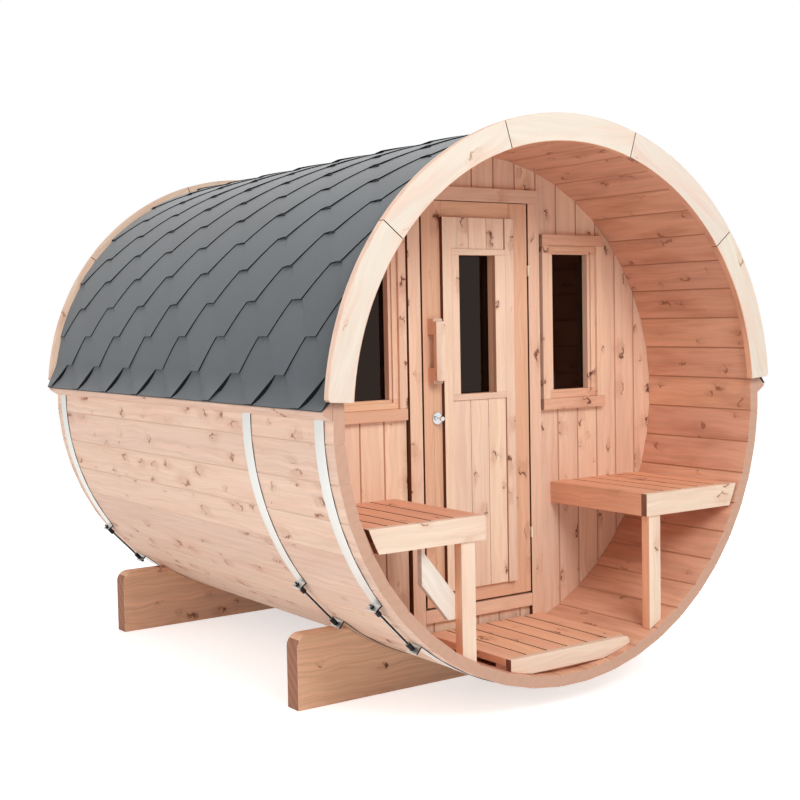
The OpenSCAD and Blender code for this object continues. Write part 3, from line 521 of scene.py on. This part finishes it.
# Door and windows: thickness of the handle's bar, gap beside the leaf, how far the leaf's top closes up to
# the head so that no light shows over it, and how far the windows' trims stop short of the door posts so that
# the joint shows as a dark line
doorJoints = {"handleBar": 20.5 * mm, "leafGap": 8 * mm, "leafRise": 5 * mm, "trimGap": 9 * mm}
nearby = 1 * mm                  # what lies closer than this counts as the same place
mostly = 0.9                     # share of a direction above which it counts as going along an axis


# The handle's blocks are of the leaf's wood, and its bar is pale
def handleFinish(middle, along, spot):
    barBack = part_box("door_handle")[0].y + doorJoints["handleBar"]
    return "leafSpruce" if spot.y > barBack else "creamSpruce"


# The windows' sills and heads are of redder wood than their stiles
def windowFinish(middle, along, spot):
    return "leafSpruce" if abs(along.x) > mostly else "postSpruce"


def trimJoint(nodeName, side):
    low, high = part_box(nodeName)
    postSide = high.x if side == "left" else low.x

    def cutBack(spot):
        atPost = abs(spot.x - postSide) < nearby
        return Vector((math.copysign(doorJoints["trimGap"], postSide) * atPost, 0, 0))
    return cutBack


def leafTop(spot):
    atTop = abs(spot.z - leafHigh.z) < nearby
    return Vector((0, 0, doorJoints["leafRise"] * atTop))


# Picks a node's upright edges that face sideways at the given places along x; these take painted shade, for
# the dark gaps beside them
def sideEdges(*places):
    def test(centre, normal):
        return abs(normal.x) > mostly and min(abs(centre.x - place) for place in places) < nearby
    return test


frameLow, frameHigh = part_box("door_frame")
leafLow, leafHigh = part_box("door_leaf")
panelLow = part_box("door_panel")[0]
leafGap = doorJoints["leafGap"]
postEdges = sideEdges(frameLow.x, leafLow.x - leafGap, leafHigh.x + leafGap, frameHigh.x)

# Door wall, rear wall, windows and door
for nodeName in ("wall_left", "wall_right", "wall_over_door", "wall_under_door", "rear_wall"):
    dressWood(nodeName, "wall_wood", "wallSpruce", ease=1 * mm, grooved=True)
for side in ("left", "right"):
    dressWood("window_" + side, "wall_wood", windowFinish, ease=1.5 * mm,
              trim=trimJoint("window_" + side, side))
    dressPlain("window_glass_" + side, "dark_glass", darkGlass, 0.5 * mm, label="Pane")
# The posts' sides, the leaf's sides and the panel's left side are painted dark: painted shade of the gaps
# round the leaf and posts
dressWood("door_frame", "wall_wood", "postSpruce", ease=1.5 * mm, gapShade=postEdges)
dressWood("door_leaf", "wall_wood", "leafSpruce", ease=1.5 * mm, body="door",
          gapShade=sideEdges(leafLow.x, leafHigh.x), trim=leafTop)
dressWood("door_panel", "wall_wood", "panelSpruce", ease=1.2 * mm, grooved=True, body="door",
          gapShade=sideEdges(panelLow.x))
dressWood("door_handle", "pale_wood", handleFinish, ease=3 * mm, body="door")
dressPlain("door_glass", "dark_glass", darkGlass, 0.5 * mm, body="door", label="Pane")
dressPlain("door_lock", "lock_chrome", lockChrome, 1 * mm, body="door")
dressPlain("hinge_knuckles", "hinge_steel", hingeSteel, 0.6 * mm, body="door")
dressPlain("hinge_pins", "hinge_steel", hingeSteel, 0.6 * mm)
print("walls, windows and door dressed")


# Deck, floor and benches: a bench's front board lies within boardDepth, its leg's front starts at legFront
# from the middle, and the left board's end, within endDepth and endReach, stops endGap short of the staves.
# Slats lie within slatDepth of the top, and their outer edges within slatMargin of the sides.
porch = {
    "boardDepth": 25 * mm, "legFront": 5 * mm, "endDepth": 32 * mm, "endReach": 120 * mm, "endGap": 16 * mm,
    "slatDepth": 40 * mm, "slatMargin": 10 * mm,
}


# What faces the front is pale, the rest is darker seat wood: partly the wood's own tone, partly painted
# light, the fronts lighter where the front light falls and the sides darker in shade
def benchFinish(middle, along, spot):
    facesFront = abs(along.x) > mostly and middle.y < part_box("bench_left")[0].y + porch["boardDepth"]
    legFront = abs(along.z) > mostly and spot.y < middle.y - porch["legFront"]
    return "creamSpruce" if facesFront or legFront else "seatSpruce"


def fasciaJoint(spot):
    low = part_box("bench_left")[0]
    atEnd = spot.y < low.y + porch["endDepth"] and spot.x < low.x + porch["endReach"]
    return Vector((porch["endGap"] * atEnd, 0, 0))


# Picks the slats' edges that face another slat across a gap; they are painted dark as painted shade of the
# gap
def slatGaps(nodeName):
    low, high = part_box(nodeName)

    def test(centre, normal):
        within = low.x + porch["slatMargin"] < centre.x < high.x - porch["slatMargin"]
        return abs(normal.x) > mostly and within and centre.z > high.z - porch["slatDepth"]
    return test


dressWood("porch_deck", "seat_wood", "deckSpruce", ease=2 * mm, gapShade=slatGaps("porch_deck"))
dressWood("cabin_floor", "seat_wood", "deckSpruce", ease=2 * mm, gapShade=slatGaps("cabin_floor"))
dressWood("deck_fascia", "pale_wood", "creamSpruce", ease=2.5 * mm)
for side in ("left", "right"):
    dressWood("bench_" + side, "seat_wood", benchFinish, ease=2 * mm, gapShade=slatGaps("bench_" + side),
              trim=fasciaJoint if side == "left" else None)
dressWood("bench_brace", "pale_wood", "braceSpruce", ease=2 * mm)


# Bands and tensioners: what lies farther from the rod's middle than clear times its radius is a nut or a lug
# The rod's faces that point to the front past the given share are painted black as painted shade
steelParts = {"rodRadius": 4.5 * mm, "clear": 1.15, "shadedFront": -0.65, "bandEdge": 0.8}


# Whether a spot on a tensioner is black: off the rod on a nut or a lug, or on the rod's front, where the
# black is painted shade
def offRod(nodeName):
    low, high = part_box(nodeName)
    middle = (low + high) / 2
    outward = Vector((middle.x, 0, middle.z - axisHeight)).normalized()
    rodWay = outward.cross(Vector((0, 1, 0)))

    def test(centre, normal):
        arm = centre - middle
        fromRod = (arm - rodWay * arm.dot(rodWay)).length
        isOff = fromRod > steelParts["rodRadius"] * steelParts["clear"]
        return isOff or normal.y < steelParts["shadedFront"]
    return test


# The bands' cut edges are black: painted shade, for the dark line along each band's edge
def onBandEdge(centre, normal):
    return abs(normal.y) > steelParts["bandEdge"]


for end in ("front", "middle", "rear"):
    dressPlain(end + "_band", "band_steel", bandSteel, 0.4 * mm, other=lugAndShadeSteel, second=onBandEdge)
    dressPlain(end + "_tensioner", "rod_steel", rodSteel, 0.6 * mm, other=lugAndShadeSteel,
               second=offRod(end + "_tensioner"))
print("porch, bands and tensioners dressed")


# Shingles: strips of six-sided tabs in courses, each course half a tab along from the last. Places up the
# roof are counted in courses from the eaves, and the strips are then laid on the roof's section.
shingles = {
    "courses": 12,
    "tabsPerCourse": 10,
    "courseHeight": 136.5 * mm,
    "tabPitch": 1000 / 3 * mm,
    "tabFlat": 75 * mm,
    "thickness": 4.2 * mm,
    "sheet": 0.92,               # share of the thickness that is drawn, so that sheets lie apart
    "tabRows": (0, 0.25, 0.5, 0.75, 1, 1.4, 1.75, 2.1),                # rows of corners, in courses
    "starterRows": (0, 0.15, 0.3, 0.45, 0.6, 0.75, 0.9, 1.0, 1.1),
    "firstTab": 80 * mm,         # where a tab of the odd courses sits along the barrel
    "lift": 4.5 * mm,            # how far a loose tab edge may stand up
    "tautness": 1.0,             # share of the way that the first tabs stand off the hollow of the eaves
    "pressedDown": 0.88,         # share of its thickness by which a tab's rear edge is pressed down
    "pressFrom": 0.35,           # share of a tab's half width, in front of its middle, where that begins
    "endInset": 0.6 * mm,
    "ridgeGap": 0.002,           # in courses, between the two sides
    "seed": 7,
}


def layerTop(course):
    return shingles["thickness"] * (1 + max(0.0, 2 - course))


# One tab with its share of the strip, flat: x in courses, y along the barrel, z up from the deck
def tabMesh():
    shape = bmesh.new()
    free = shape.verts.layers.float.new("freeEdge")
    cut = shape.faces.layers.float.new("cutEdge")
    halfPitch = shingles["tabPitch"] / 2
    halfFlat = shingles["tabFlat"] / 2
    shoulder = halfPitch - halfFlat
    pressFrom = shingles["pressFrom"]
    rows = []
    for level in shingles["tabRows"]:
        half = halfFlat + (shoulder - halfFlat) * min(level, 1)
        across = [-half, -half / 3, half / 3, half]
        if level >= 1:
            across = [-halfPitch] + across + [halfPitch]
        row = [shape.verts.new((level, y, layerTop(level))) for y in across]
        for vert in row:
            rearward = max(0.0, (vert.co.y / half + pressFrom) / (1 + pressFrom))
            vert.co.z -= shingles["pressedDown"] * shingles["thickness"] * rearward * float(level < 1)
            vert[free] = max(0.0, 1 - level) ** 2 * (1 - min(1.0, rearward))
        rows.append(row)
    for low, high in zip(rows, rows[1:]):
        extra = (len(high) - len(low)) // 2
        for i in range(len(low) - 1):
            shape.faces.new((low[i], high[i + extra], high[i + 1 + extra], low[i + 1]))
    under = bmesh.ops.extrude_face_region(shape, geom=shape.faces[:])["geom"]
    for vert in (item for item in under if isinstance(item, bmesh.types.BMVert)):
        vert.co.z -= shingles["sheet"] * shingles["thickness"]
    joints = [f for f in shape.faces if all(abs(abs(v.co.y) - halfPitch) < 1e-6 for v in f.verts)]
    bmesh.ops.delete(shape, geom=joints, context="FACES_ONLY")
    bmesh.ops.recalc_face_normals(shape, faces=shape.faces)
    for face in shape.faces:
        face[cut] = float(abs(face.normal.z) < 0.3)
    mesh = bpy.data.meshes.new("shingleTab")
    shape.to_mesh(mesh)
    shape.free()
    return mesh


# Node tree that sets out the tabs in courses, gives each a tone of its own and lifts its loose edges
def courseTree():
    tree = bpy.data.node_groups.new("shingleCourses", "GeometryNodeTree")
    tree.interface.new_socket("Geometry", in_out="OUTPUT", socket_type="NodeSocketGeometry")
    inputs = [("Tab", "Object"), ("Courses", "Int"), ("Tabs Per Course", "Int"), ("Tab Pitch", "Float"),
              ("First Tab", "Float"), ("Lift", "Float"), ("Seed", "Int"), ("Material", "Material"),
              ("Cut Material", "Material")]
    for name, kind in inputs:
        tree.interface.new_socket(name, in_out="INPUT", socket_type="NodeSocket" + kind)
    given = add(tree, "NodeGroupInput").outputs
    perCourse = given["Tabs Per Course"]
    count = add(tree, "ShaderNodeMath", {"operation": "MULTIPLY"},
                {0: given["Courses"], 1: perCourse}).outputs[0]
    index = add(tree, "GeometryNodeInputIndex").outputs[0]
    share = add(tree, "ShaderNodeMath", {"operation": "DIVIDE"}, {0: index, 1: perCourse}).outputs[0]
    course = add(tree, "ShaderNodeMath", {"operation": "FLOOR"}, {0: share}).outputs[0]
    column = add(tree, "ShaderNodeMath", {"operation": "MODULO"}, {0: index, 1: perCourse}).outputs[0]
    middle = add(tree, "ShaderNodeMath", {"operation": "MULTIPLY", 1: 0.5}, {0: perCourse}).outputs[0]
    fromMiddle = add(tree, "ShaderNodeMath", {"operation": "SUBTRACT"}, {0: column, 1: middle}).outputs[0]
    nextCourse = add(tree, "ShaderNodeMath", {"operation": "ADD", 1: 1.0}, {0: course}).outputs[0]
    evenCourse = add(tree, "ShaderNodeMath", {"operation": "MODULO", 1: 2.0}, {0: nextCourse}).outputs[0]
    stagger = add(tree, "ShaderNodeMath", {"operation": "MULTIPLY_ADD", 1: 0.5},
                  {0: evenCourse, 2: fromMiddle}).outputs[0]
    along = add(tree, "ShaderNodeMath", {"operation": "MULTIPLY_ADD"},
                {0: stagger, 1: given["Tab Pitch"], 2: given["First Tab"]}).outputs[0]
    spot = add(tree, "ShaderNodeCombineXYZ", {}, {"X": course, "Y": along}).outputs[0]
    points = add(tree, "GeometryNodePoints", {}, {"Count": count, "Position": spot}).outputs[0]
    tab = add(tree, "GeometryNodeObjectInfo", {"As Instance": True},
              {"Object": given["Tab"]}).outputs["Geometry"]
    tabs = add(tree, "GeometryNodeInstanceOnPoints", {}, {"Points": points, "Instance": tab}).outputs[0]
    tone = add(tree, "FunctionNodeRandomValue", {"data_type": "FLOAT"}, {"Seed": given["Seed"]}).outputs[1]
    toned = add(tree, "GeometryNodeStoreNamedAttribute",
                {"data_type": "FLOAT", "domain": "INSTANCE", "Name": "tabTone"},
                {"Geometry": tabs, "Value": tone}).outputs[0]
    real = add(tree, "GeometryNodeRealizeInstances", {}, {"Geometry": toned}).outputs[0]
    free, ownTone, cut = (
        add(tree, "GeometryNodeInputNamedAttribute", {"data_type": "FLOAT", "Name": name}).outputs[0]
        for name in ("freeEdge", "tabTone", "cutEdge"))
    rise = add(tree, "ShaderNodeMath", {"operation": "MULTIPLY"}, {0: free, 1: ownTone}).outputs[0]
    lift = add(tree, "ShaderNodeMath", {"operation": "MULTIPLY"}, {0: rise, 1: given["Lift"]}).outputs[0]
    liftVector = add(tree, "ShaderNodeCombineXYZ", {}, {"Z": lift}).outputs[0]
    raised = add(tree, "GeometryNodeSetPosition", {}, {"Geometry": real, "Offset": liftVector}).outputs[0]
    whole = add(tree, "GeometryNodeMergeByDistance", {"Distance": 0.05 * mm}, {"Geometry": raised}).outputs[0]
    coated = add(tree, "GeometryNodeSetMaterial", {},
                 {"Geometry": whole, "Material": given["Material"]}).outputs[0]
    isCut = add(tree, "FunctionNodeCompare", {"operation": "GREATER_THAN", 1: 0.5}, {0: cut}).outputs[0]
    edged = add(tree, "GeometryNodeSetMaterial", {},
                {"Geometry": coated, "Selection": isCut, "Material": given["Cut Material"]}).outputs[0]
    add(tree, "NodeGroupOutput", {}, {"Geometry": edged})
    return tree


# Runs a node tree on its own and gives the result as a plain mesh
def grownMesh(tree, values):
    host = bpy.data.objects.new("nodeHost", bpy.data.meshes.new("nodeHost"))
    scene.collection.objects.link(host)
    modifier = host.modifiers.new("grow", "NODES")
    modifier.node_group = tree
    for item in tree.interface.items_tree:
        if item.in_out == "INPUT" and item.name in values:
            modifier[item.identifier] = values[item.name]
    graph = bpy.context.evaluated_depsgraph_get()
    mesh = bpy.data.meshes.new_from_object(host.evaluated_get(graph), depsgraph=graph)
    bpy.data.objects.remove(host)
    return mesh


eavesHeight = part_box("roof_right")[0].z - axisHeight
eavesTip = Vector((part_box("eaves_batten_right")[1].x, eavesHeight))
courseAngle = shingles["courseHeight"] / coverRadius
firstAngle = math.pi / 2 - (shingles["courses"] - 1) * courseAngle
reachOut = Vector((math.cos(firstAngle), math.sin(firstAngle)))
firstPoint = coverRadius * reachOut
battenShoulder = Vector((coverRadius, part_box("eaves_batten_right")[1].z - axisHeight))
eavesSlope = battenShoulder - eavesTip
eavesBend = eavesTip + eavesSlope * (coverRadius - eavesTip.dot(reachOut)) / eavesSlope.dot(reachOut)


# Roof section at a place counted in courses: point and outward direction. The first course leaves the round
# in one easy hollow over the batten, and taut felt spans part of that hollow.
def roofSection(course, tautness):
    if course >= 1:
        angle = firstAngle + courseAngle * (course - 1)
        outward = Vector((math.cos(angle), math.sin(angle)))
        return coverRadius * outward, outward
    t = max(0.0, course)
    hollow = (1 - t) ** 2 * eavesTip + 2 * t * (1 - t) * eavesBend + t ** 2 * firstPoint
    point = hollow.lerp(eavesTip.lerp(firstPoint, t), tautness)
    way = (1 - t) * (eavesBend - eavesTip) + t * (firstPoint - eavesBend)
    return point, Vector((way.y, -way.x)).normalized()


def roofFacing(course, side):
    outward = roofSection(course, 0.0)[1]
    return side * outward.x, 0, outward.y


def laidPoint(spot, side, tautness):
    point, outward = roofSection(spot[0], tautness)
    laid = point + outward * spot[2]
    return Vector((side * laid.x, spot[1], axisHeight + laid.y))


# Cuts the strips at the barrel's ends and at the ridge, closes the cuts and lays the strips on the roof
def layStrips(shape, side):
    inset = shingles["endInset"]
    cuts = [((0, staveEnds[0] + inset, 0), (0, -1, 0)), ((0, staveEnds[1] - inset, 0), (0, 1, 0)),
            ((shingles["courses"] - shingles["ridgeGap"], 0, 0), (1, 0, 0))]
    for spot, facing in cuts:
        everything = shape.verts[:] + shape.edges[:] + shape.faces[:]
        bmesh.ops.bisect_plane(shape, geom=everything, plane_co=spot, plane_no=facing, clear_outer=True)
    openEdges = [e for e in shape.edges if len(e.link_faces) == 1]
    for face in bmesh.ops.holes_fill(shape, edges=openEdges, sides=0)["faces"]:
        face.material_index = 1
    facing = shape.verts.layers.float_vector["roofFacing"]
    for vert in shape.verts:
        course, along, height = vert.co
        vert[facing] = roofFacing(course, side)
        isUnder = course < 1 and height < layerTop(course) - 0.5 * shingles["thickness"]
        if isUnder:
            vert.co = laidPoint((course, along, layerTop(course + 1)), side, 0.0)
        else:
            vert.co = laidPoint(vert.co, side, shingles["tautness"])


# The plain starter strip under the first course closes the notches at the eaves
def addStarter(shape, side):
    inset = shingles["endInset"]
    facing = shape.verts.layers.float_vector["roofFacing"]
    rings = []
    for level in shingles["starterRows"]:
        top = layerTop(level + 1)
        corners = [(level, y, z) for y in (staveEnds[0] + inset, staveEnds[1] - inset)
                   for z in (top, top - shingles["sheet"] * shingles["thickness"])]
        ring = [shape.verts.new(laidPoint(corner, side, 0.0)) for corner in corners]
        for vert in ring:
            vert[facing] = roofFacing(level, side)
        rings.append(ring)
    for low, high in zip(rings, rings[1:]):
        for i, j in ((0, 2), (2, 3), (3, 1), (1, 0)):
            shape.faces.new((low[i], low[j], high[j], high[i]))
    for ring in (rings[0], rings[-1]):
        shape.faces.new([ring[i] for i in (0, 2, 3, 1)])


def shingleMesh(strips, tabObject, side, sign):
    mesh = grownMesh(strips, {
        "Tab": tabObject, "Courses": shingles["courses"], "Tabs Per Course": shingles["tabsPerCourse"],
        "Tab Pitch": shingles["tabPitch"], "First Tab": shingles["firstTab"], "Lift": shingles["lift"],
        "Seed": shingles["seed"] + sign, "Material": shingleFelt, "Cut Material": feltEdge})
    mesh.name = "shingles_" + side
    isCut = [mesh.materials[face.material_index] == feltEdge for face in mesh.polygons]
    mesh.materials.clear()
    mesh.materials.append(shingleFelt)
    mesh.materials.append(feltEdge)
    for face, cut in zip(mesh.polygons, isCut):
        face.material_index = int(cut)
    shape = bmesh.new()
    shape.from_mesh(mesh)
    shape.verts.layers.float_vector.new("roofFacing")
    layStrips(shape, sign)
    addStarter(shape, sign)
    bmesh.ops.recalc_face_normals(shape, faces=shape.faces)
    shape.to_mesh(mesh)
    shape.free()
    mesh.shade_smooth()
    mesh.set_sharp_from_angle(angle=math.radians(30))
    return mesh


shingleTab = bpy.data.objects.new("shingleTab", tabMesh())
scene.collection.objects.link(shingleTab)
shingleStrips = courseTree()
for side, sign in (("left", -1), ("right", 1)):
    roofMesh = shingleMesh(shingleStrips, shingleTab, side, sign)
    putIn("shingles_" + side, roofMesh, "barrel", "shingle_felt", "roof_" + side)
bpy.data.objects.remove(shingleTab)
print("shingles laid")


# Camera where the photograph was taken from, fitted to the rims of the barrel
shot = {
    "place": (-3.3403, -4.9392, 1.4949),
    "azimuth": -34.8417,
    "elevation": 3.5237,
    "roll": -1.1012,
    "lens": 59.308,
    "sensor": 36.0,
}


def placeCamera():
    azimuth, elevation, roll = (math.radians(shot[key]) for key in ("azimuth", "elevation", "roll"))
    back = Vector((math.sin(azimuth) * math.cos(elevation), -math.cos(azimuth) * math.cos(elevation),
                   math.sin(elevation)))
    level = Vector((0, 0, 1)).cross(back).normalized()
    upright = back.cross(level)
    across = math.cos(roll) * level + math.sin(roll) * upright
    up = math.cos(roll) * upright - math.sin(roll) * level
    camera = bpy.data.objects.new("photoCamera", bpy.data.cameras.new("photoCamera"))
    camera.data.lens = shot["lens"]
    camera.data.sensor_width = shot["sensor"]
    turn = Matrix((across, up, back)).transposed().to_4x4()
    camera.matrix_world = Matrix.Translation(shot["place"]) @ turn
    scene.collection.objects.link(camera)
    scene.camera = camera


# Even studio light: a white room, a wide soft lamp high in front, and weaker ones at the left side and
# behind. The room and its floor look brighter than the light they give.
studio = {"world": 0.52, "floorGlow": 0.52, "floorHalf": 30.0}
lamps = {
    "frontLamp": {"place": (-1.2, -6.4, 5.2), "target": (0, -0.7, 0.8), "size": 3.0, "power": 265.0},
    "sideLamp": {"place": (-7.5, -0.5, 2.2), "target": (-0.5, 0, 0.9), "size": 4.0, "power": 140.0},
    "rearLamp": {"place": (3.2, 7.0, 5.0), "target": (0, 0.5, 1.2), "size": 4.0, "power": 170.0},
}


def softLamp(name, place, target, size, power):
    lamp = bpy.data.objects.new(name, bpy.data.lights.new(name, "AREA"))
    lamp.data.shape = "DISK"
    lamp.data.size = size
    lamp.data.energy = power
    lamp.location = place
    lamp.rotation_euler = (Vector(target) - Vector(place)).to_track_quat("-Z", "Y").to_euler()
    lamp.visible_glossy = False
    scene.collection.objects.link(lamp)


def seenDirectly(tree):
    path = add(tree, "ShaderNodeLightPath").outputs
    sight = add(tree, "ShaderNodeMath", {"operation": "MAXIMUM"},
                {0: path["Is Camera Ray"], 1: path["Is Glossy Ray"]}).outputs[0]
    return add(tree, "ShaderNodeMath", {"operation": "MAXIMUM"},
               {0: sight, 1: path["Is Transmission Ray"]}).outputs[0]


def lightRoom():
    world = bpy.data.worlds.new("whiteRoom")
    world.use_nodes = True
    tree = world.node_tree
    tree.nodes.clear()
    strength = add(tree, "ShaderNodeMapRange", {"To Min": studio["world"], "To Max": 1.0},
                   {"Value": seenDirectly(tree)}).outputs[0]
    room = add(tree, "ShaderNodeBackground", {"Color": (1.0, 1.0, 1.0, 1.0)}, {"Strength": strength})
    add(tree, "ShaderNodeOutputWorld", {}, {"Surface": room.outputs[0]})
    scene.world = world
    for name, lamp in lamps.items():
        softLamp(name, **lamp)


def layFloor():
    mesh = bpy.data.meshes.new("studioFloor")
    half = studio["floorHalf"]
    corners = [(-half, -half, 0), (half, -half, 0), (half, half, 0), (-half, half, 0)]
    mesh.from_pydata(corners, [], [(0, 1, 2, 3)])
    material, tree = newMaterial("palePaint")
    paint = add(tree, "ShaderNodeBsdfDiffuse", {"Color": linear("#F6F6F6")}).outputs[0]
    strength = add(tree, "ShaderNodeMath", {"operation": "MULTIPLY", 1: studio["floorGlow"]},
                   {0: seenDirectly(tree)}).outputs[0]
    glow = add(tree, "ShaderNodeEmission", {"Color": (1.0, 1.0, 1.0, 1.0)},
               {"Strength": strength}).outputs[0]
    shader = add(tree, "ShaderNodeAddShader", {}, {0: paint, 1: glow})
    add(tree, "ShaderNodeOutputMaterial", {}, {"Surface": shader.outputs[0]})
    mesh.materials.append(material)
    floor = bpy.data.objects.new("studioFloor", mesh)
    scene.collection.objects.link(floor)


placeCamera()
lightRoom()
layFloor()
scene.view_settings.view_transform = "Standard"
print("camera and light placed")
